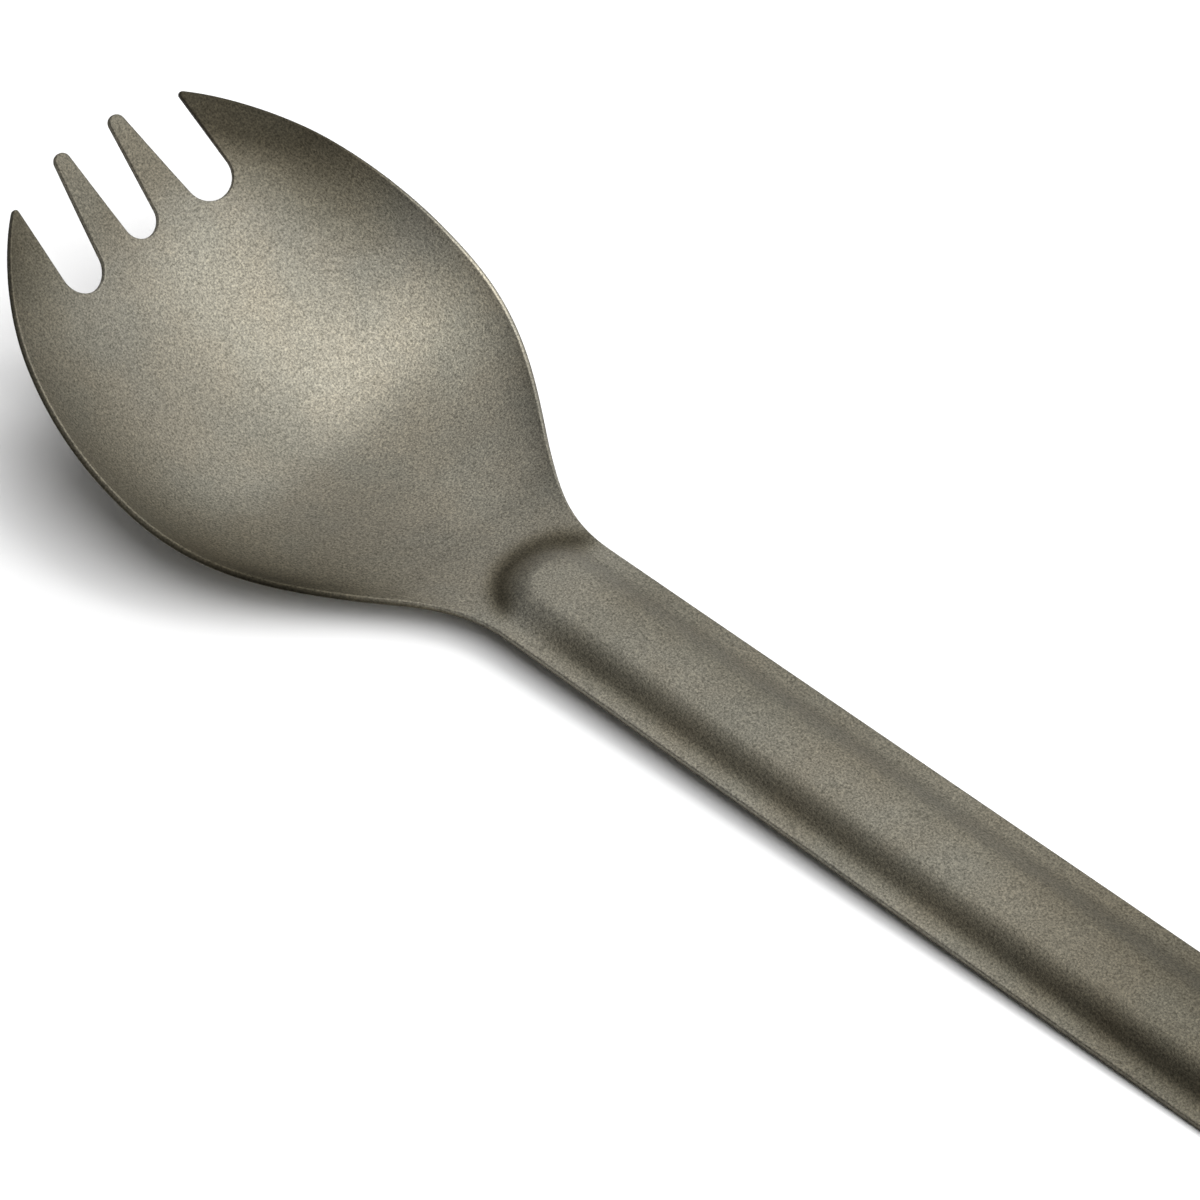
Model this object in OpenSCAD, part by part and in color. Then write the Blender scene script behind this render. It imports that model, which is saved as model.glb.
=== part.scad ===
// Pressed sheet spork with a small carabiner through the hole in its tail.
// Units are millimetres, +Z is up. The spork lies bowl side up on z = 0.
// Origin: centre of the flat under the bowl that rests on the table.
// X runs along the spork, tines at -X and handle at +X. The handle is
// centred on y = 0. All pieces share this frame and are drawn at rest.

/* [Bowl] */
// widest width of the bowl
bowl_w = 38.9; // [34:0.1:44]
// distance from the origin to the widest section, towards the tines
bowl_wide_x = 5.5; // [4:0.1:8]
// length of the half ellipse in front of the widest section
bowl_front = 23.0; // [21.5:0.1:25]
// length from the widest section back to the end of the neck
bowl_back = 31.2; // [28:0.1:36]
// rise of the rim above the handle line at the tines
rim_rise = 15.8; // [10:0.1:20]
// height of the tine tips above the bowl floor
tip_rise = 20.7; // [16:0.05:24]
// how much the front wall curves: 1 is straight, 2 curves all the way up
front_curl = 1.134; // [1.05:0.002:1.8]
// how much the walls beside the tines curve, in the same way
side_curl = 0.608; // [0.5:0.002:1.8]
// how much the side walls of the bowl itself curve
bowl_curl = 2; // [1.2:0.05:2.4]
// how much of the side walls' rise is a steeper roll close to the rim
rim_roll = 0.22; // [0:0.01:0.4]
// how wide the round bottom of the bowl is, as a share of its walls
bowl_round = 0.4; // [0.2:0.05:0.6]

/* [Tines] */
// slope of the tines above the horizontal, degrees
tine_pitch = 53; // [45:1:60]
// length of the inner tines measured from the slot bottoms
tine_len = 10.86; // [8:0.02:12]
// radius of the round bottom of the two outer slots
slot_r = 2.11; // [1.6:0.01:2.3]
// distance from the centre line to the outer slots
slot_y = 7.24; // [6.8:0.01:7.6]
// radius of the round bottom of the middle slot
mid_slot_r = 1.61; // [1.1:0.01:1.7]
// radius of the inner tines' round tips
tip_r = 0.77; // [0.6:0.01:0.9]

/* [Sheet and handle] */
// thickness of the pressed sheet
sheet = 0.6; // [0.5:0.05:0.9]
// x of the tail end of the handle
tail_x = 141; // [136:0.5:150]
// width of the handle at the neck
neck_w = 12.4; // [11:0.1:14]
// width of the handle at the tail
tail_w = 12.8; // [12:0.1:15]
// height of the handle's flat edge at the neck
neck_z = 2.8; // [2.4:0.05:3.2]
// height of the raised bead along the handle
bead_h = 1.3; // [0.6:0.05:1.8]
// half width of the bead where it meets the flat edges
bead_foot = 5.2; // [4.6:0.05:5.5]
// half width of the bead's flat crest
bead_top = 1.8; // [1.2:0.05:2.4]
// centre of the bead's rounded front end
bead_x0 = 25; // [24:0.5:28]
// centre of the bead's rounded rear end
bead_x1 = 119; // [105:0.5:121]

/* [Hang hole and carabiner] */
// radius of the hang hole
hole_r = 3.25; // [3.2:0.05:3.6]
// radius of the carabiner's round stock
rod_r = 1.25; // [1.1:0.05:1.3]
// radius of the carabiner's end bends, to the middle of the stock
bend_r = 6; // [5.8:0.1:6.5]
// distance between the centres of the two end bends
ring_run = 20; // [18:0.5:26]
// lean of the carabiner above the table at rest, degrees
ring_lean = 33; // [33:0.5:40]

/* [Quality] */
// facets on round metal
round_fn = 64; // [32:8:96]

/* [Hidden] */
neck_x = 34;
end_x = 139;
slope = -0.03355;
floor_dip = 0.1;
tip_x = -26.7;
rim_tip_x = -25.6;
rim_foot_x = 15;
rim_pow = 1.509;
neck_pow_a = 2.456;
neck_pow_b = 2.72;
dish_end = 27;
kick_x0 = 99;
kick_x1 = 130;
hole_x = tail_x - bend_r;
hole_z = bend_r * sin(ring_lean) + rod_r;
kick = hole_z + sheet / 2 - (neck_z + slope * (hole_x - neck_x));
col_n = 26;
front_n = 30;
neck_n = 14;
// gate and hinge
hinge_x = 2.4;
latch_x = ring_run - 1.6;
tongue_t = 1.0;
fork_t = 1.12;
rivet_r = 0.45;
rivet_hole_r = 0.5;
pin_r = 0.4;
pin_slot_r = 0.46;
bore_r = 0.62;
plunger_r = 0.56;
plunger_len = 2.6;
cam_x = 1.2;
spring_len = 5.0;
spring_wire = 0.12;
spring_turns = 7;

// ---- sheet surface, computed point by point ----

function clamp01(a) = min(1, max(0, a));
function ease(a) = let (s = clamp01(a)) s * s * (3 - 2 * s);
// rises from 0 to 1: round at the start, then nearly straight
function wall(u, curl) =
    let (e = bowl_round, low = pow(e, curl))
    (pow(u * u + e * e, curl / 2) - low) / (pow(1 + e * e, curl / 2) - low);

// half width of the straight handle
function handle_half(x) =
    neck_w / 2 + (tail_w - neck_w) / 2 * max(0, x - neck_x) / (end_x - neck_x);

// half width of the whole plan outline
function outline(x) =
    x < -bowl_wide_x
    ? bowl_w / 2 * sqrt(max(0, 1 - pow((-bowl_wide_x - x) / bowl_front, 2)))
    : handle_half(x) + (bowl_w / 2 - handle_half(x))
      * pow(1 - pow(clamp01((x + bowl_wide_x) / bowl_back), neck_pow_a), neck_pow_b);

function tail_half(x) =
    let (r = handle_half(tail_x), d = x - (tail_x - r))
    d <= 0 ? outline(x) : sqrt(max(0.04, r * r - d * d));

// height of the rim and of the handle's flat edges
function rim_z(x) =
    neck_z + slope * (x - neck_x) + kick * ease((x - kick_x0) / (kick_x1 - kick_x0))
    + (x < rim_foot_x ? rim_rise * pow((rim_foot_x - x) / (rim_foot_x - rim_tip_x), rim_pow) : 0);

// height along the middle of the bowl
function mid_z(x) =
    x < 0
    ? sheet - floor_dip + tip_rise * wall(x / tip_x, front_curl)
    : sheet - floor_dip + (rim_z(x) - sheet + floor_dip) * ease(x / dish_end);

// raised bead with rounded ends
function bead_dist(x, y) =
    norm([y, x < bead_x0 ? bead_x0 - x : x > bead_x1 ? x - bead_x1 : 0]);
function bead(x, y) =
    let (a = clamp01((bead_dist(x, y) - bead_top) / (bead_foot - bead_top)))
    bead_h * (0.5 + 0.5 * cos(180 * a));

// the side walls are straighter beside the tines than in the bowl
function curl_at(x) = side_curl + (bowl_curl - side_curl) * ease((x + 20) / 18);
function dish(x, v) = (1 - rim_roll) * wall(v, curl_at(x)) + rim_roll * pow(v, 8);

function top_z(x, y) =
    let (v = min(1.1, abs(y) / outline(x)), m = mid_z(x))
    m + (rim_z(x) - m) * dish(x, v) + bead(x, y);

// unit normal of the top surface by central differences
function face_up(x, y) =
    let (
        h = 0.05,
        a = (top_z(x + h, y) - top_z(x - h, y)) / (2 * h),
        b = (top_z(x, y + h) - top_z(x, y - h)) / (2 * h),
        n = [-a, -b, 1]
    )
    n / norm(n);

function top_pt(x, y) = [x, y, top_z(x, y)];
function low_pt(x, y) = top_pt(x, y) - sheet * face_up(x, y);

// stations along the spork: close together in the bowl, at both ends of the
// bead, in the tail bend and around the tail's round end
stations = concat(
    [for (i = [0 : front_n - 1]) -27.1 + 38.1 * pow(i / front_n, 1.08)],
    [for (i = [0 : neck_n - 1]) 11 + 20 * i / neck_n],
    [31, 46, 61, 76, 88, 95],
    [for (i = [0 : 12]) 99 + 2.6 * i],
    [for (i = [0 : 7]) tail_x - handle_half(tail_x) * (1 - sin(i * 12))]
);

module sheet_shell() {
    n = len(stations);
    m = col_n + 1;
    tops = [for (x = stations) for (j = [0 : col_n]) top_pt(x, tail_half(x) * (2 * j / col_n - 1))];
    lows = [for (x = stations) for (j = [0 : col_n]) low_pt(x, tail_half(x) * (2 * j / col_n - 1))];
    k = n * m;
    faces = concat(
        [for (i = [0 : n - 2]) for (j = [0 : m - 2]) [i * m + j, i * m + j + 1, (i + 1) * m + j]],
        [for (i = [0 : n - 2]) for (j = [0 : m - 2]) [i * m + j + 1, (i + 1) * m + j + 1, (i + 1) * m + j]],
        [for (i = [0 : n - 2]) for (j = [0 : m - 2]) [k + i * m + j, k + (i + 1) * m + j, k + i * m + j + 1]],
        [for (i = [0 : n - 2]) for (j = [0 : m - 2]) [k + i * m + j + 1, k + (i + 1) * m + j, k + (i + 1) * m + j + 1]],
        [for (i = [0 : n - 2]) [i * m, (i + 1) * m, k + i * m]],
        [for (i = [0 : n - 2]) [(i + 1) * m, k + (i + 1) * m, k + i * m]],
        [for (i = [0 : n - 2]) [i * m + m - 1, k + i * m + m - 1, (i + 1) * m + m - 1]],
        [for (i = [0 : n - 2]) [(i + 1) * m + m - 1, k + i * m + m - 1, k + (i + 1) * m + m - 1]],
        [for (j = [0 : m - 2]) [j, k + j, j + 1]],
        [for (j = [0 : m - 2]) [j + 1, k + j, k + j + 1]],
        [for (j = [0 : m - 2]) [(n - 1) * m + j, (n - 1) * m + j + 1, k + (n - 1) * m + j]],
        [for (j = [0 : m - 2]) [(n - 1) * m + j + 1, k + (n - 1) * m + j + 1, k + (n - 1) * m + j]]
    );
    polyhedron(points = concat(tops, lows), faces = faces, convexity = 10);
}

// slots and tine tips, drawn in the plane of the tines: x is the distance
// from the slot bottoms towards the tips
module tine_cut_plan() {
    difference() {
        union() {
            for (s = [-1, 1])
                hull() {
                    translate([0.25 + slot_r, s * slot_y]) circle(slot_r, $fn = 40);
                    polygon([[16, s * 2.9], [16, s * 8.99], [15.9, s * 8.98]]);
                }
            hull() {
                translate([1.0 + mid_slot_r, 0]) circle(mid_slot_r, $fn = 40);
                polygon([[16, -2.86], [16, 2.86], [15.9, 0]]);
            }
            translate([tine_len - tip_r, -9.1]) square([8, 18.2]);
            translate([9.28, -20]) square([8, 11]);
            translate([9.28, 9]) square([8, 11]);
        }
        for (s = [-1, 1]) translate([tine_len - tip_r, s * 3.07]) circle(tip_r, $fn = 32);
    }
}

module tine_cutter() {
    translate([-20.27, 0, 12.6])
        rotate([0, tine_pitch - 180, 0])
            translate([0, 0, -9])
                linear_extrude(height = 18) tine_cut_plan();
}

module spork() {
    color([0.44, 0.43, 0.40])
    difference() {
        sheet_shell();
        tine_cutter();
        translate([hole_x, 0, hole_z - 5]) cylinder(r = hole_r, h = 10, $fn = round_fn);
        translate([-20, -20, -4]) cube([60, 40, 4]);
    }
}

// ---- carabiner, drawn flat with its hole bend centred on the origin ----

module place_carabiner() {
    translate([hole_x + bend_r, 0, hole_z]) rotate([ring_lean, 0, 0]) children();
}

module bend(a0, sweep) {
    rotate([0, 0, a0])
        rotate_extrude(angle = sweep, $fn = round_fn * 2) translate([bend_r, 0]) circle(rod_r, $fn = 32);
}

module rod_x(x0, x1, y, r) {
    translate([x0, y, 0]) rotate([0, 90, 0]) cylinder(r = r, h = x1 - x0, $fn = round_fn);
}

module carabiner_frame() {
    color([0.62, 0.63, 0.65])
    place_carabiner()
    difference() {
        union() {
            bend(90, 180);
            rod_x(0, ring_run, -bend_r, rod_r);
            translate([ring_run, 0, 0]) bend(-90, 180);
            // tongue at the hinge
            rod_x(0, 0.9, bend_r, rod_r);
            intersection() {
                union() {
                    rod_x(0.8, hinge_x, bend_r, rod_r);
                    translate([hinge_x, bend_r, -rod_r]) cylinder(r = cam_x, h = 2 * rod_r, $fn = round_fn);
                    translate([hinge_x, bend_r - 0.9, -rod_r]) cube([cam_x, 1.8, 2 * rod_r]);
                }
                translate([0.8, 0, -tongue_t / 2]) cube([10, 12, tongue_t]);
            }
            // tongue at the latch
            intersection() {
                rod_x(latch_x - 1.15, ring_run + 0.1, bend_r, rod_r);
                translate([latch_x - 2, 0, -tongue_t / 2]) cube([8, 12, tongue_t]);
            }
        }
        translate([hinge_x, bend_r, -3]) cylinder(r = rivet_r, h = 6, $fn = round_fn);
        // notch that the latch pin drops into, open towards the inside
        translate([latch_x, bend_r, -3]) cylinder(r = pin_slot_r, h = 6, $fn = round_fn);
        translate([latch_x - pin_slot_r, bend_r - 3, -3]) cube([2 * pin_slot_r, 3, 6]);
    }
}

module carabiner_gate() {
    color([0.62, 0.63, 0.65])
    place_carabiner()
    difference() {
        intersection() {
            union() {
                rod_x(hinge_x, latch_x, bend_r, rod_r);
                translate([hinge_x, bend_r, -2]) cylinder(r = rod_r, h = 4, $fn = round_fn);
                translate([latch_x, bend_r, -2]) cylinder(r = 0.95, h = 4, $fn = round_fn);
            }
            rod_x(0, ring_run, bend_r, rod_r);
        }
        // fork slots over the two tongues
        translate([hinge_x - 3, 0, -fork_t / 2]) cube([3 + cam_x + 0.55, 12, fork_t]);
        translate([latch_x - 1.45, 0, -fork_t / 2]) cube([6, 12, fork_t]);
        // rivet and pin holes
        translate([hinge_x, bend_r, -3]) cylinder(r = rivet_hole_r, h = 6, $fn = round_fn);
        translate([latch_x, bend_r, -3]) cylinder(r = pin_r, h = 6, $fn = round_fn);
        // blind bore for the spring and plunger
        rod_x(hinge_x + cam_x, hinge_x + cam_x + plunger_len + spring_len + 0.6, bend_r, bore_r);
    }
}

module hinge_rivet() {
    color([0.75, 0.74, 0.70])
    place_carabiner()
        translate([hinge_x, bend_r, -1.13]) cylinder(r = rivet_r, h = 2.26, $fn = round_fn);
}

module latch_pin() {
    color([0.75, 0.74, 0.70])
    place_carabiner()
        translate([latch_x, bend_r, -1.15]) cylinder(r = pin_r, h = 2.3, $fn = round_fn);
}

module gate_plunger() {
    color([0.78, 0.66, 0.36])
    place_carabiner() rod_x(hinge_x + cam_x + 0.04, hinge_x + cam_x + plunger_len, bend_r, plunger_r);
}

// helical wire along +X: rings of points swept round the axis
module coil(turns, run, coil_r, wire_r) {
    seg = 14;
    side = 6;
    n = turns * seg;
    pts = [for (i = [0 : n]) for (j = [0 : side - 1])
        let (
            a = 360 * i / seg,
            b = 360 * j / side,
            r = coil_r + wire_r * cos(b)
        )
        [run * i / n + wire_r * sin(b), r * cos(a), r * sin(a)]];
    skin = [for (i = [0 : n - 1]) for (j = [0 : side - 1])
        let (k = (j + 1) % side)
        [i * side + j, i * side + k, (i + 1) * side + k, (i + 1) * side + j]];
    first = [for (j = [side - 1 : -1 : 0]) j];
    last = [for (j = [0 : side - 1]) n * side + j];
    polyhedron(points = pts, faces = concat([first], skin, [last]), convexity = 10);
}

module gate_spring() {
    color([0.55, 0.56, 0.58])
    place_carabiner()
        translate([hinge_x + cam_x + plunger_len + spring_wire + 0.02, bend_r, 0])
            coil(spring_turns, spring_len - 2 * spring_wire, 0.42, spring_wire);
}

spork();
carabiner_frame();
carabiner_gate();
hinge_rivet();
latch_pin();
gate_plunger();
gate_spring();
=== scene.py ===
import math
import bpy
from mathutils import Vector, Matrix
from mathutils.geometry import delaunay_2d_cdt
from mathutils.kdtree import KDTree


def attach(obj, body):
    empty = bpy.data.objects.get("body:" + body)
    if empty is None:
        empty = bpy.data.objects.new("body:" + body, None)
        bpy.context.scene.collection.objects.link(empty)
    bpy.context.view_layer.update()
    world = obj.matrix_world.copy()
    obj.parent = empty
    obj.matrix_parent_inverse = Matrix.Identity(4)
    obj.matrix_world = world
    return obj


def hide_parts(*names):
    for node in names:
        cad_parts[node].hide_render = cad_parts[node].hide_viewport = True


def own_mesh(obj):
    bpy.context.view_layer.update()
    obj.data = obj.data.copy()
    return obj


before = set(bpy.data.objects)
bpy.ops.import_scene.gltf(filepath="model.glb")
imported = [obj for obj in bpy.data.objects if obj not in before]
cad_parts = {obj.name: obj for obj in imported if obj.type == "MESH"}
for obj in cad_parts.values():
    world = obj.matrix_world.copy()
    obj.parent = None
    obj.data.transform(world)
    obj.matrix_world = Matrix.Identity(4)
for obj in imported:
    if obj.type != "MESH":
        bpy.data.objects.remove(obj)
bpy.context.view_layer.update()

# ---------------------------------------------------------------- sheet form
# The same surface as the CAD node "spork", in millimetres: x from the tines to
# the tail, y across, z up. The bowl rests on the table at the origin. The
# values are those of part.scad.
BOWL_W, WIDE_X, FRONT, BACK = 38.9, 5.5, 23.0, 31.2
NECK_POW_A, NECK_POW_B = 2.456, 2.72
RIM_RISE, RIM_POW, RIM_FOOT_X, RIM_TIP_X = 15.8, 1.509, 15, -25.6
TIP_RISE, TIP_X, DISH_END, FLOOR_DIP = 20.7, -26.7, 27, 0.1
CURL, SIDE_CURL, BOWL_CURL, ROUND, ROLL = 1.134, 0.608, 2.0, 0.4, 0.22
SHEET, NECK_X, END_X, TAIL_X, NECK_W, TAIL_W = 0.6, 34, 139, 141.0, 12.4, 12.8
NECK_Z, SLOPE, KICK_X0, KICK_X1 = 2.8, -0.03355, 99, 130
BEAD_H, FOOT, CREST, BEAD_0, BEAD_1 = 1.3, 5.2, 1.8, 25.0, 119.0
HOLE_R, BEND_R, ROD_R, LEAN = 3.25, 6.0, 1.25, math.radians(33)
HOLE_X = TAIL_X - BEND_R
HOLE_Z = BEND_R * math.sin(LEAN) + ROD_R
KICK = HOLE_Z + SHEET / 2 - (NECK_Z + SLOPE * (HOLE_X - NECK_X))

# Only drawn here: rounding of the cut edges, and the outer edge beside the
# tines, which lies this far inside the CAD's.
EDGE, TIP_PULL = 0.17, 0.25


def ease(a):
    a = min(1.0, max(0.0, a))
    return a * a * (3 - 2 * a)


def wall(u, curl):
    low = ROUND ** curl
    return ((u * u + ROUND ** 2) ** (curl / 2) - low) / ((1 + ROUND ** 2) ** (curl / 2) - low)


def curl_at(x):
    return SIDE_CURL + (BOWL_CURL - SIDE_CURL) * ease((x + 20) / 18)


def handle_half(x):
    return NECK_W / 2 + (TAIL_W - NECK_W) / 2 * max(0, x - NECK_X) / (END_X - NECK_X)


def outline(x):
    if x < -WIDE_X:
        return BOWL_W / 2 * math.sqrt(max(1e-6, 1 - ((-WIDE_X - x) / FRONT) ** 2))
    h = handle_half(x)
    a = min(1.0, (x + WIDE_X) / BACK)
    return h + (BOWL_W / 2 - h) * max(0.0, 1 - a ** NECK_POW_A) ** NECK_POW_B


def rim_z(x):
    z = NECK_Z + SLOPE * (x - NECK_X) + KICK * ease((x - KICK_X0) / (KICK_X1 - KICK_X0))
    if x < RIM_FOOT_X:
        z += RIM_RISE * ((RIM_FOOT_X - x) / (RIM_FOOT_X - RIM_TIP_X)) ** RIM_POW
    return z


def mid_z(x):
    low = SHEET - FLOOR_DIP
    if x < 0:
        return low + TIP_RISE * wall(x / TIP_X, CURL)
    return low + (rim_z(x) - low) * ease(x / DISH_END)


def top_z(x, y):
    m = mid_z(x)
    v = min(1.1, abs(y) / outline(x))
    dx = BEAD_0 - x if x < BEAD_0 else (x - BEAD_1 if x > BEAD_1 else 0)
    a = min(1.0, max(0.0, (math.hypot(y, dx) - CREST) / (FOOT - CREST)))
    dish = (1 - ROLL) * wall(v, curl_at(x)) + ROLL * v ** 8
    return m + (rim_z(x) - m) * dish + BEAD_H * (0.5 + 0.5 * math.cos(math.pi * a))


def normal(x, y):
    h = 0.04
    n = Vector(((top_z(x - h, y) - top_z(x + h, y)) / (2 * h),
                (top_z(x, y - h) - top_z(x, y + h)) / (2 * h), 1))
    return n.normalized()


def surface(x, y):
    return Vector((x, y, top_z(x, y)))


# ------------------------------------------------------------ plan boundary
PITCH = math.radians(53)
TINE_O = Vector((-20.27, 0, 12.6))
TINE_U = Vector((-math.cos(PITCH), 0, math.sin(PITCH)))
TINE_N = Vector((math.sin(PITCH), 0, math.cos(PITCH)))
SLOT_R, SLOT_Y, SLOT_S = 2.114, 7.24, 2.366
MID_SLOT_R, MID_SLOT_S = 1.612, 2.615
OUTER_TIP_R, INNER_TIP_R = 0.3, 0.769
SIDE_X = -25.2                  # where the sides start, behind the outer tips
CLOSEST = 0.07                  # nearer points of the boundary are merged


def tine_to_plan(s, y):
    """A point drawn in the plane of the tines, dropped square onto the sheet."""
    base = TINE_O + TINE_U * s
    lo, hi = -9.0, 12.0
    for _ in range(40):
        k = (lo + hi) / 2
        q = base + TINE_N * k
        if q.z > top_z(q.x, y):
            hi = k
        else:
            lo = k
    return (base.x + TINE_N.x * lo, y)


def arc(cx, cy, r, a0, a1, n):
    return [(cx + r * math.cos(math.radians(a0 + (a1 - a0) * i / n)),
             cy + r * math.sin(math.radians(a0 + (a1 - a0) * i / n))) for i in range(n + 1)]


def resample(pts, step, closed):
    """Even spacing along a polyline."""
    if closed:
        pts = pts + [pts[0]]
    run = [0.0]
    for a, b in zip(pts, pts[1:]):
        run.append(run[-1] + math.dist(a, b))
    n = max(3, round(run[-1] / step))
    out, k = [], 0
    for i in range(n if closed else n + 1):
        d = run[-1] * i / n
        while k < len(run) - 2 and run[k + 1] < d:
            k += 1
        t = (d - run[k]) / max(1e-9, run[k + 1] - run[k])
        out.append(tuple(a + (b - a) * t for a, b in zip(pts[k], pts[k + 1])))
    return out


def tine_edge():
    """Front edge from the +Y outer tine round the slots to the -Y one,
    as (s, y) points in the plane of the tines."""
    half = []
    # outer tine tip, down its inner flank, round the slot bottom
    half += arc(9.01, 9.44, OUTER_TIP_R, 39, -91, 14)
    half += arc(SLOT_S, SLOT_Y, SLOT_R, 89, 180, 12)
    half += arc(SLOT_S, SLOT_Y, SLOT_R, 188, 261, 10)
    # inner tine: up its outer flank, round its tip, down to the middle slot
    half += arc(10.092, 3.075, INNER_TIP_R, 81, -85, 12)
    half += arc(MID_SLOT_S, 0, MID_SLOT_R, 95, 180, 12)
    other = [(s, -y) for s, y in reversed(half[:-1])]
    return half + other


def plan_outline():
    front = [tine_to_plan(s, y) for s, y in resample(tine_edge(), 0.13, False)]
    side, x = [], SIDE_X
    r = handle_half(TAIL_X)
    while x < TAIL_X - r - 0.1:
        side.append((x, outline(x) - TIP_PULL * ease((-16 - x) / 8)))
        x += 0.2 if x < 30 else 0.8
    side += arc(TAIL_X - r, 0, r, 90, 0, 30)
    upper = resample(side, 0.5, False)
    lower = [(x, -y) for x, y in upper[:-1]]
    loop, out = front + lower + list(reversed(upper)), []
    for p in loop:
        if not out or math.dist(p, out[-1]) > CLOSEST:
            out.append(p)
    if math.dist(out[0], out[-1]) < CLOSEST:
        out.pop()
    return out


def inside(p, poly):
    x, y = p
    hit = False
    for (x0, y0), (x1, y1) in zip(poly, poly[1:] + poly[:1]):
        if (y0 > y) != (y1 > y) and x < x0 + (y - y0) / (y1 - y0) * (x1 - x0):
            hit = not hit
    return hit


def edge_frames(loop):
    """For each point of a closed plan loop: the sheet's top point, the unit
    direction out of the sheet and the sheet's normal."""
    top = [surface(x, y) for x, y in loop]
    out = []
    for i, p in enumerate(top):
        t = (top[(i + 1) % len(top)] - top[i - 1]).normalized()
        n = normal(p.x, p.y)
        out.append((p, t.cross(n).normalized(), n))
    return out


# --------------------------------------------------- painted light and shade of the upper face
# Light and shade painted into the colour to match the reference view, which the lights below do
# not give by themselves. Better lights may give much of it. It multiplies the metal's colour. It
# is not wear: it stays put when the part turns, and differs between +Y and -Y. To remove it, make
# tone_at return 1.
VIEW_END = 89                   # x where the reference view cuts the handle off
# How dark the painted shade on the cut edge is, and the lowest the painted tone may go.
CUT_EDGE_SHADE, LEAST_TONE = 0.35, 0.2


def spot(x, v, x0, v0, wide, tall):
    """A soft round patch, 1 at its centre."""
    return math.exp(-((x - x0) / wide) ** 2 - ((v - v0) / tall) ** 2)


def bowl_tone(x, y, v):
    """Painted light and shade of the bowl: brighter floor and +Y wall, darker rim and front."""
    middle = ease((x + 24) / 8) * (1 - ease(abs(y - 3) / outline(x) / 0.75))
    rim = ease((abs(v) - 0.42) / 0.55)
    if y > 0:
        rim *= 0.62 * ease((-5 - x) / 14) + 0.22 * ease((-1 - x) / 8)
    else:
        rim *= 0.36
    tone = ease((22 - x) / 14) * (0.4 * middle - rim) - 0.25 * ease((-17 - x) / 6)
    tone += 1.15 * spot(x, v, 0, 0.95, 6.5, 0.39)
    tone -= 0.4 * spot(x, v, -5, -0.05, 5, 0.28)
    tone -= 0.18 * spot(x, v, -18, 0.5, 4, 0.2)
    tone -= 0.3 * spot(x, v, 8, -1, 7, 0.16)
    tone -= 0.15 * ease((x + 6) / 8) * ease((18 - x) / 6) * (1 - ease((v + 0.1) / 0.4))
    return tone


def bead_front_tone(x, y):
    """The painted shade of the dark crescent at the front of the bead."""
    if x >= BEAD_0:
        return 0
    ring = math.hypot(y, x - BEAD_0) - 0.12 * y
    return -0.72 * math.exp(-((ring - 5) / 1.1) ** 2) * ease((BEAD_0 - x) / 2.5)


def handle_tone(x, y, v):
    """Painted shade on the handle: darker all over but for the -Y flat, more so in the -Y groove
    and on the +Y half, with a fall along the handle."""
    along = ease((x - 24) / 8)
    groove = 0.45 * math.exp(-((y + 4.1) / 1.2) ** 2)
    overall = 0.11 * (1 - 0.8 * ease((-v - 0.65) / 0.15))
    far_half = 0.13 * ease((v + 0.05) / 0.4)
    fall = 0.38 * ease((min(x, VIEW_END) - 60) / 40)
    return -along * (groove + overall + far_half) - fall


def tone_at(x, y):
    v = max(-1.0, min(1.0, y / outline(x)))
    return max(LEAST_TONE, 1 + bowl_tone(x, y, v) + bead_front_tone(x, y) + handle_tone(x, y, v))


# --------------------------------------------------------------- sheet mesh
def edge_rings(loops, verts, norms):
    """Rows of points round each cut edge, from the upper face to the lower.
    Adds to verts and norms, and gives the rows of indices of each loop."""
    # profile of the cut edge: (out of the sheet, along its normal), with normals
    prof = [(EDGE * (math.cos(a) - 1), EDGE * (math.sin(a) - 1), math.cos(a), math.sin(a))
            for a in (math.pi / 2 * (1 - i / 4) for i in range(5))]
    prof += [(o, -SHEET - k, c, -s) for o, k, c, s in reversed(prof)]
    rings = []
    for loop in loops:
        frames = edge_frames(loop)
        ring = []
        for o, k, c, s in prof:
            row = []
            for p, m, n in frames:
                row.append(len(verts))
                q = p + m * o + n * k
                q.z = max(q.z, 0.0)
                verts.append(q)
                norms.append((m * c + n * s).normalized())
            ring.append(row)
        rings.append(ring)
    return rings


def inner_points(walls, outer):
    """Points inside the sheet, on a grid that follows the bowl and the handle,
    finer where the sheet curves more."""
    tree = KDTree(len(walls))
    for i, (x, y) in enumerate(walls):
        tree.insert((x, y, 0), i)
    tree.balance()
    grid, x = [], -27.4
    while x < TAIL_X:
        dx = 0.42 if x < -16 else (0.75 if x < 33 else (1.6 if x < 95 else 0.9))
        n = 46 if x < 18 else 26
        for j in range(n + 1):
            y = outline(x) * (2 * j / n - 1) * 0.995
            gap = tree.find((x, y, 0))[2]
            clear = math.dist((x, y), (HOLE_X, 0)) > HOLE_R + 0.4
            if gap > 0.3 and clear and inside((x, y), outer):
                grid.append((x, y))
        x += dx
    return grid


def plan_triangles(outer, hole):
    """The sheet's plan as triangles: its points, for each point the boundary
    point it came from or None, and the triangles between the two loops."""
    walls = outer + hole
    edges, k = [], 0
    for loop in (outer, hole):
        edges += [(k + i, k + (i + 1) % len(loop)) for i in range(len(loop))]
        k += len(loop)
    pts = [Vector(p) for p in walls + inner_points(walls, outer)]
    plan, _, tris, origin, _, _ = delaunay_2d_cdt(pts, edges, [], 0, 1e-7)
    keep = []
    for t in tris:
        c = sum((plan[i] for i in t), Vector((0, 0))) / 3
        if inside(c, outer) and not inside(c, hole):
            keep.append(t)
    source = [min(src) if src and min(src) < len(walls) else None for src in origin]
    return plan, source, keep


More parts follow.
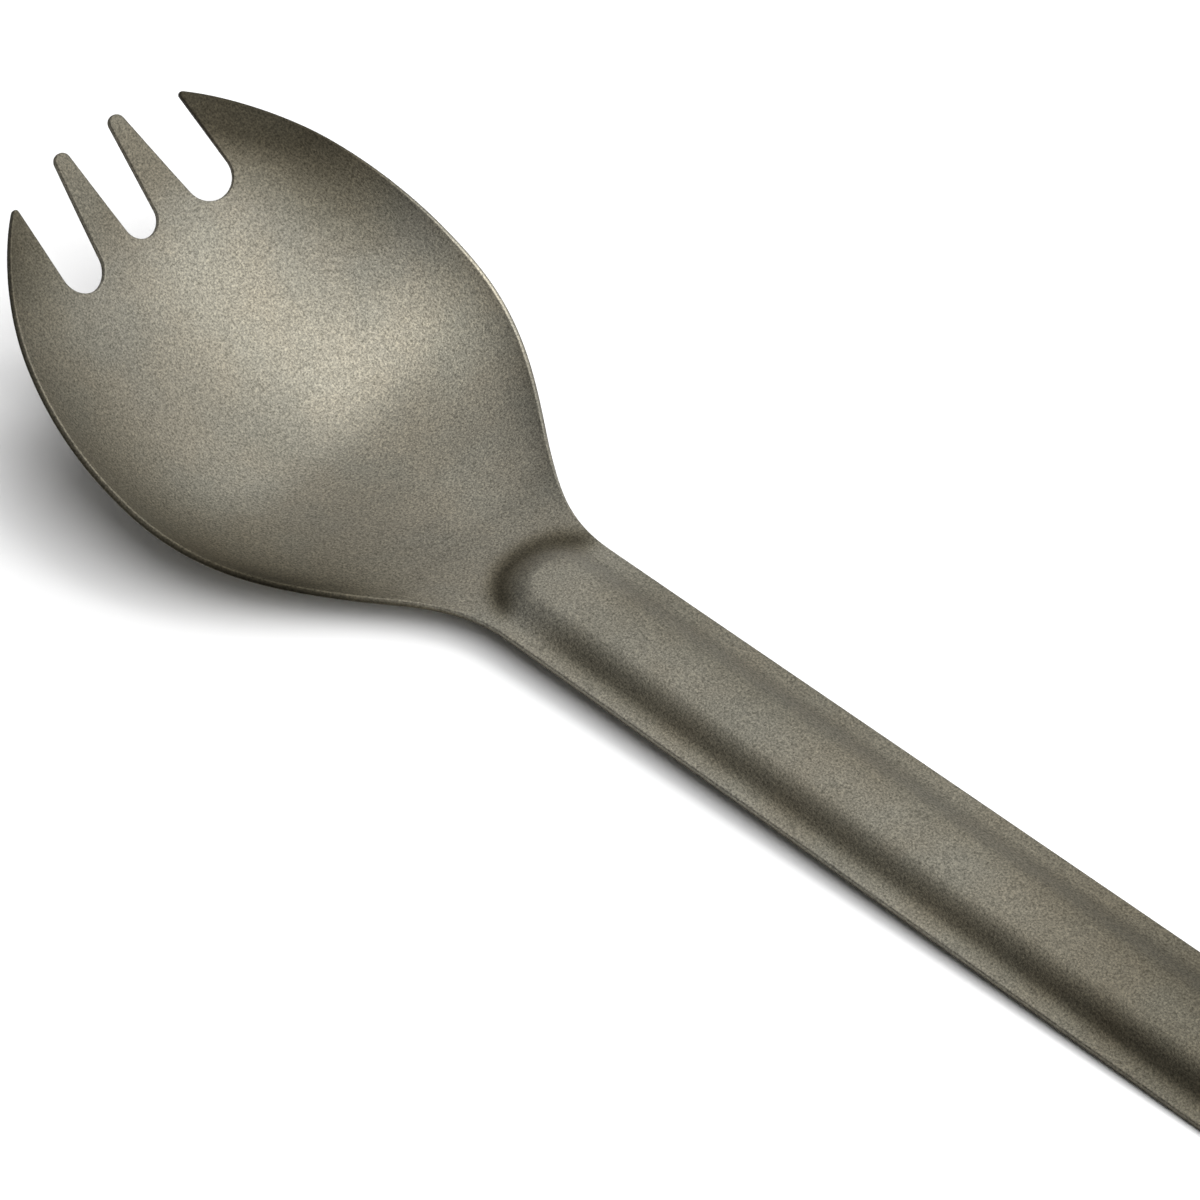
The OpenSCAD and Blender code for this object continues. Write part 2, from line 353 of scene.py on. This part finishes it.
def face_points(plan, source, rings, verts, norms):
    """Upper and lower points over each plan point. Those on the boundary are
    the cut edge's own, so that the faces join it."""
    ring_top = [i for ring in rings for i in ring[0]]
    ring_low = [i for ring in rings for i in ring[-1]]
    top_id, low_id = {}, {}
    for i, src in enumerate(source):
        if src is not None:
            top_id[i], low_id[i] = ring_top[src], ring_low[src]
            continue
        p, n = surface(*plan[i]), normal(*plan[i])
        top_id[i] = len(verts)
        verts.append(p)
        norms.append(n)
        low_id[i] = len(verts)
        q = p - n * SHEET
        flat = q.z < 0
        q.z = max(q.z, 0.0)
        verts.append(q)
        norms.append(Vector((0, 0, -1)) if flat else -n)
    return top_id, low_id


def sheet_faces(plan, triangles, top_id, low_id, rings):
    faces = []
    for a, b, c in triangles:
        if (plan[b] - plan[a]).cross(plan[c] - plan[a]) < 0:
            b, c = c, b
        faces.append((top_id[a], top_id[b], top_id[c]))
        faces.append((low_id[a], low_id[c], low_id[b]))
    for ring in rings:
        n = len(ring[0])
        for up, dn in zip(ring, ring[1:]):
            for i in range(n):
                j = (i + 1) % n
                faces.append((up[i], dn[i], dn[j], up[j]))
    return faces


def paint_tone(me, points, used, rings, low_id):
    """Writes the view_tone layer: painted light and shade on the upper face, painted shade on the
    cut edge below its lip, and the underside left plain.
    """
    dark = {i for ring in rings for row in ring[5:8] for i in row}
    under = {i for ring in rings for row in ring[8:] for i in row} | set(low_id.values())
    tones = []
    for i, p in zip(used, points):
        if i in under:
            tones.append(1.0)
        else:
            tones.append(tone_at(p.x, p.y) * (CUT_EDGE_SHADE if i in dark else 1))
    layer = me.attributes.new("view_tone", "FLOAT", "POINT")
    layer.data.foreach_set("value", tones)


def add_object(name, me):
    ob = bpy.data.objects.new(name, me)
    bpy.context.scene.collection.objects.link(ob)
    return ob


def sheet_mesh(name):
    verts, norms = [], []
    hole_loop = list(reversed(arc(HOLE_X, 0, HOLE_R, 0, 356.25, 95)))
    rings = edge_rings([plan_outline(), hole_loop], verts, norms)
    outer, hole = ([(verts[i].x, verts[i].y) for i in ring[0]] for ring in rings)
    plan, source, triangles = plan_triangles(outer, hole)
    top_id, low_id = face_points(plan, source, rings, verts, norms)
    faces = sheet_faces(plan, triangles, top_id, low_id, rings)
    used = sorted({i for f in faces for i in f})
    points = [verts[i] for i in used]
    new = {o: i for i, o in enumerate(used)}
    me = bpy.data.meshes.new(name)
    me.from_pydata([p / 1000 for p in points], [], [tuple(new[i] for i in f) for f in faces])
    me.validate()
    me.shade_smooth()
    me.normals_split_custom_set_from_vertices([norms[i] for i in used])
    paint_tone(me, points, used, rings, low_id)
    return add_object(name, me)


# ---------------------------------------------------------------- materials
def material(name):
    m = bpy.data.materials.new(name)
    m.use_nodes = True
    t = m.node_tree
    bsdf = t.nodes["Principled BSDF"]
    at = t.nodes.new("ShaderNodeTexCoord")
    mm = t.nodes.new("ShaderNodeMapping")
    mm.inputs["Scale"].default_value = (1000, 1000, 1000)
    t.links.new(at.outputs["Object"], mm.inputs["Vector"])
    return m, t, bsdf, mm.outputs["Vector"]


def noise(t, vec, scale, detail=3.0, rough=0.55):
    n = t.nodes.new("ShaderNodeTexNoise")
    n.inputs["Scale"].default_value = scale
    n.inputs["Detail"].default_value = detail
    n.inputs["Roughness"].default_value = rough
    t.links.new(vec, n.inputs["Vector"])
    return n.outputs["Fac"]


def ramp(t, fac, stops):
    r = t.nodes.new("ShaderNodeValToRGB")
    while len(r.color_ramp.elements) < len(stops):
        r.color_ramp.elements.new(0.5)
    for e, (p, c) in zip(r.color_ramp.elements, stops):
        e.position = p
        e.color = (*c, 1)
    t.links.new(fac, r.inputs["Fac"])
    return r.outputs["Color"]


def mix(t, kind, fac, a, b):
    n = t.nodes.new("ShaderNodeMix")
    n.data_type = "RGBA"
    n.blend_type = kind
    for socket, value in ((n.inputs[0], fac), (n.inputs[6], a), (n.inputs[7], b)):
        if hasattr(value, "is_output"):
            t.links.new(value, socket)
        else:
            socket.default_value = value if isinstance(value, float) else (*value, 1)
    return n.outputs[2]


def bump(t, bsdf, layers):
    last = None
    for height, dist, strength in layers:
        b = t.nodes.new("ShaderNodeBump")
        b.inputs["Strength"].default_value = strength
        b.inputs["Distance"].default_value = dist
        t.links.new(height, b.inputs["Height"])
        if last:
            t.links.new(last, b.inputs["Normal"])
        last = b.outputs["Normal"]
    t.links.new(last, bsdf.inputs["Normal"])


def titanium():
    m, t, bsdf, vec = material("bead_blasted_titanium")
    bsdf.inputs["Metallic"].default_value = 1.0
    cloud = noise(t, vec, 0.085, 3.0)
    warm = noise(t, vec, 0.16, 2.0)
    grain = noise(t, vec, 5.5, 2.0, 0.7)
    pit = noise(t, vec, 2.1, 4.0, 0.6)
    tone = ramp(t, cloud, [(0.3, (0.205, 0.192, 0.162)), (0.7, (0.228, 0.214, 0.182))])
    tint = ramp(t, warm, [(0.35, (0.98, 1.0, 0.99)), (0.65, (1.01, 1.0, 0.96))])
    speck = ramp(t, grain, [(0.28, (0.5, 0.5, 0.48)), (0.5, (1, 1, 1)), (0.74, (1.6, 1.58, 1.52))])
    # The painted light and shade of the view_tone layer multiplies the base colour.
    shade = t.nodes.new("ShaderNodeAttribute")
    shade.attribute_name = "view_tone"
    base = mix(t, "MULTIPLY", 1.0, mix(t, "MULTIPLY", 1.0, tone, tint), speck)
    base = mix(t, "MULTIPLY", 1.0, base, shade.outputs["Fac"])
    # Painted shade tint: the metal turns yellower where the painted tone is dark.
    painted_shade_tint = ramp(t, shade.outputs["Fac"], [(0.2, (1.06, 1.0, 0.86)), (0.95, (1.0, 1.0, 1.0))])
    base = mix(t, "MULTIPLY", 1.0, base, painted_shade_tint)
    t.links.new(base, bsdf.inputs["Base Color"])
    rough = ramp(t, pit, [(0.3, (0.60,) * 3), (0.7, (0.70,) * 3)])
    t.links.new(rough, bsdf.inputs["Roughness"])
    bump(t, bsdf, [(grain, 0.00004, 0.8), (pit, 0.00004, 0.35)])
    return m


def steel(name, tone, rough, grain_scale):
    m, t, bsdf, vec = material(name)
    bsdf.inputs["Metallic"].default_value = 1.0
    fine = noise(t, vec, grain_scale, 3.0, 0.6)
    wide = noise(t, vec, 0.6, 2.0)
    lo = tuple(c * 0.86 for c in tone)
    base = ramp(t, wide, [(0.3, lo), (0.7, tone)])
    t.links.new(base, bsdf.inputs["Base Color"])
    r = ramp(t, fine, [(0.3, (rough * 0.8,) * 3), (0.7, (rough * 1.25,) * 3)])
    t.links.new(r, bsdf.inputs["Roughness"])
    bump(t, bsdf, [(fine, 0.00001, 0.3)])
    return m


# ------------------------------------------------------------------- pieces
spork = sheet_mesh("pressed_titanium_spork")
spork.data.materials.append(titanium())
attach(spork, "spork")
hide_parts("spork")

finishes = {
    "carabiner_frame": ("tumbled_steel", (0.40, 0.395, 0.38), 0.27, 3.0),
    "carabiner_gate": ("gate_steel", (0.40, 0.395, 0.38), 0.25, 3.0),
    "hinge_rivet": ("rivet_steel", (0.5, 0.49, 0.46), 0.2, 8.0),
    "latch_pin": ("pin_steel", (0.5, 0.49, 0.46), 0.2, 8.0),
    "gate_plunger": ("turned_brass", (0.72, 0.52, 0.24), 0.25, 8.0),
}
for node, spec in finishes.items():
    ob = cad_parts[node]
    mat = steel(*spec)
    for slot in ob.material_slots:
        slot.material = mat


# The coil spring inside the gate, the same size as the CAD node. It is drawn at one length and
# does not shorten as the plunger slides.
SPRING_X, SPRING_RUN, SPRING_TURNS, COIL_R, WIRE_R, TRAVEL = 6.34, 4.76, 7, 0.42, 0.12, 0.34


def coil_mesh(name, seg=24, side=10):
    n = SPRING_TURNS * seg
    lean = Matrix.Rotation(LEAN, 3, "X")
    verts, faces = [], []
    for i in range(n + 1):
        a = 2 * math.pi * i / seg
        for j in range(side):
            b = 2 * math.pi * j / side
            r = COIL_R + WIRE_R * math.cos(b)
            p = Vector((SPRING_X + SPRING_RUN * i / n + WIRE_R * math.sin(b),
                        BEND_R + r * math.cos(a), r * math.sin(a)))
            verts.append((lean @ p + Vector((TAIL_X, 0, HOLE_Z))) / 1000)
    for i in range(n):
        for j in range(side):
            k = (j + 1) % side
            faces.append((i * side + j, (i + 1) * side + j, (i + 1) * side + k, i * side + k))
    faces += [tuple(range(side)), tuple(n * side + j for j in reversed(range(side)))]
    me = bpy.data.meshes.new(name)
    me.from_pydata(verts, [], faces)
    me.validate()
    me.shade_smooth()
    return add_object(name, me)


spring = coil_mesh("gate_coil_spring")
spring.data.materials.append(steel("spring_wire", (0.5, 0.5, 0.5), 0.3, 8.0))
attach(spring, "gate")
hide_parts("gate_spring")
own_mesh(spring)


# ------------------------------------------------------------------- studio
SKY = 1.0                       # strength of the room light


def floor():
    m, t, bsdf, vec = material("paper_floor")
    tone = ramp(t, noise(t, vec, 0.02, 2.0), [(0.3, (0.86, 0.86, 0.86)), (0.7, (0.9, 0.9, 0.9))])
    t.links.new(tone, bsdf.inputs["Base Color"])
    bsdf.inputs["Roughness"].default_value = 0.9
    me = bpy.data.meshes.new("studio_floor")
    s, z = 3.0, -0.00002            # just clear of the flat that rests on it
    me.from_pydata([(-s, -s, z), (s, -s, z), (s, s, z), (-s, s, z)], [], [(0, 1, 2, 3)])
    me.materials.append(m)
    add_object("studio_floor", me)


def softbox(name, at, size, power):
    """A square light aimed at the bowl."""
    data = bpy.data.lights.new(name, "AREA")
    data.size = size
    data.energy = power
    ob = add_object(name, data)
    ob.location = at
    ob.rotation_euler = (-Vector(at)).to_track_quat("-Z", "Y").to_euler()


def sky(toward, stops):
    """A plain gradient room, brightest in one direction."""
    world = bpy.data.worlds.new("studio_world")
    bpy.context.scene.world = world
    world.use_nodes = True
    t = world.node_tree
    at = t.nodes.new("ShaderNodeTexCoord")
    dot = t.nodes.new("ShaderNodeVectorMath")
    dot.operation = "DOT_PRODUCT"
    dot.inputs[1].default_value = Vector(toward).normalized()
    t.links.new(at.outputs["Generated"], dot.inputs[0])
    half = t.nodes.new("ShaderNodeMapRange")
    half.inputs["From Min"].default_value = -1
    t.links.new(dot.outputs["Value"], half.inputs["Value"])
    tone = ramp(t, half.outputs["Result"], [(p, (v, v, v * 1.01)) for p, v in stops])
    t.links.new(tone, t.nodes["Background"].inputs["Color"])
    t.nodes["Background"].inputs["Strength"].default_value = SKY


floor()
sky((0.2, 0.85, 0.35), [(0.0, 0.03), (0.35, 0.05), (0.75, 0.34), (0.95, 0.6)])
softbox("key_softbox", (0.0, 0.40, 0.68), 0.5, 2.7)
softbox("fill_softbox", (0.38, 0.04, 0.66), 0.7, 6.8)
bpy.context.scene.view_settings.view_transform = "Standard"

# The camera, fitted to the reference view together with the outline.
cam = bpy.data.cameras.new("camera")
cam.lens = 143.8
cam.sensor_width = 36.0
cam.clip_start = 0.01
eye = add_object("camera", cam)
at = Vector((0.20537, -0.18257, 0.287639))
right = Vector((0.73906, 0.67320, -0.02425))
up = Vector((-0.48930, 0.56121, 0.66756))
back = right.cross(up)
eye.matrix_world = Matrix((
    (right.x, up.x, back.x, at.x),
    (right.y, up.y, back.y, at.y),
    (right.z, up.z, back.z, at.z),
    (0, 0, 0, 1)))
bpy.context.scene.camera = eye
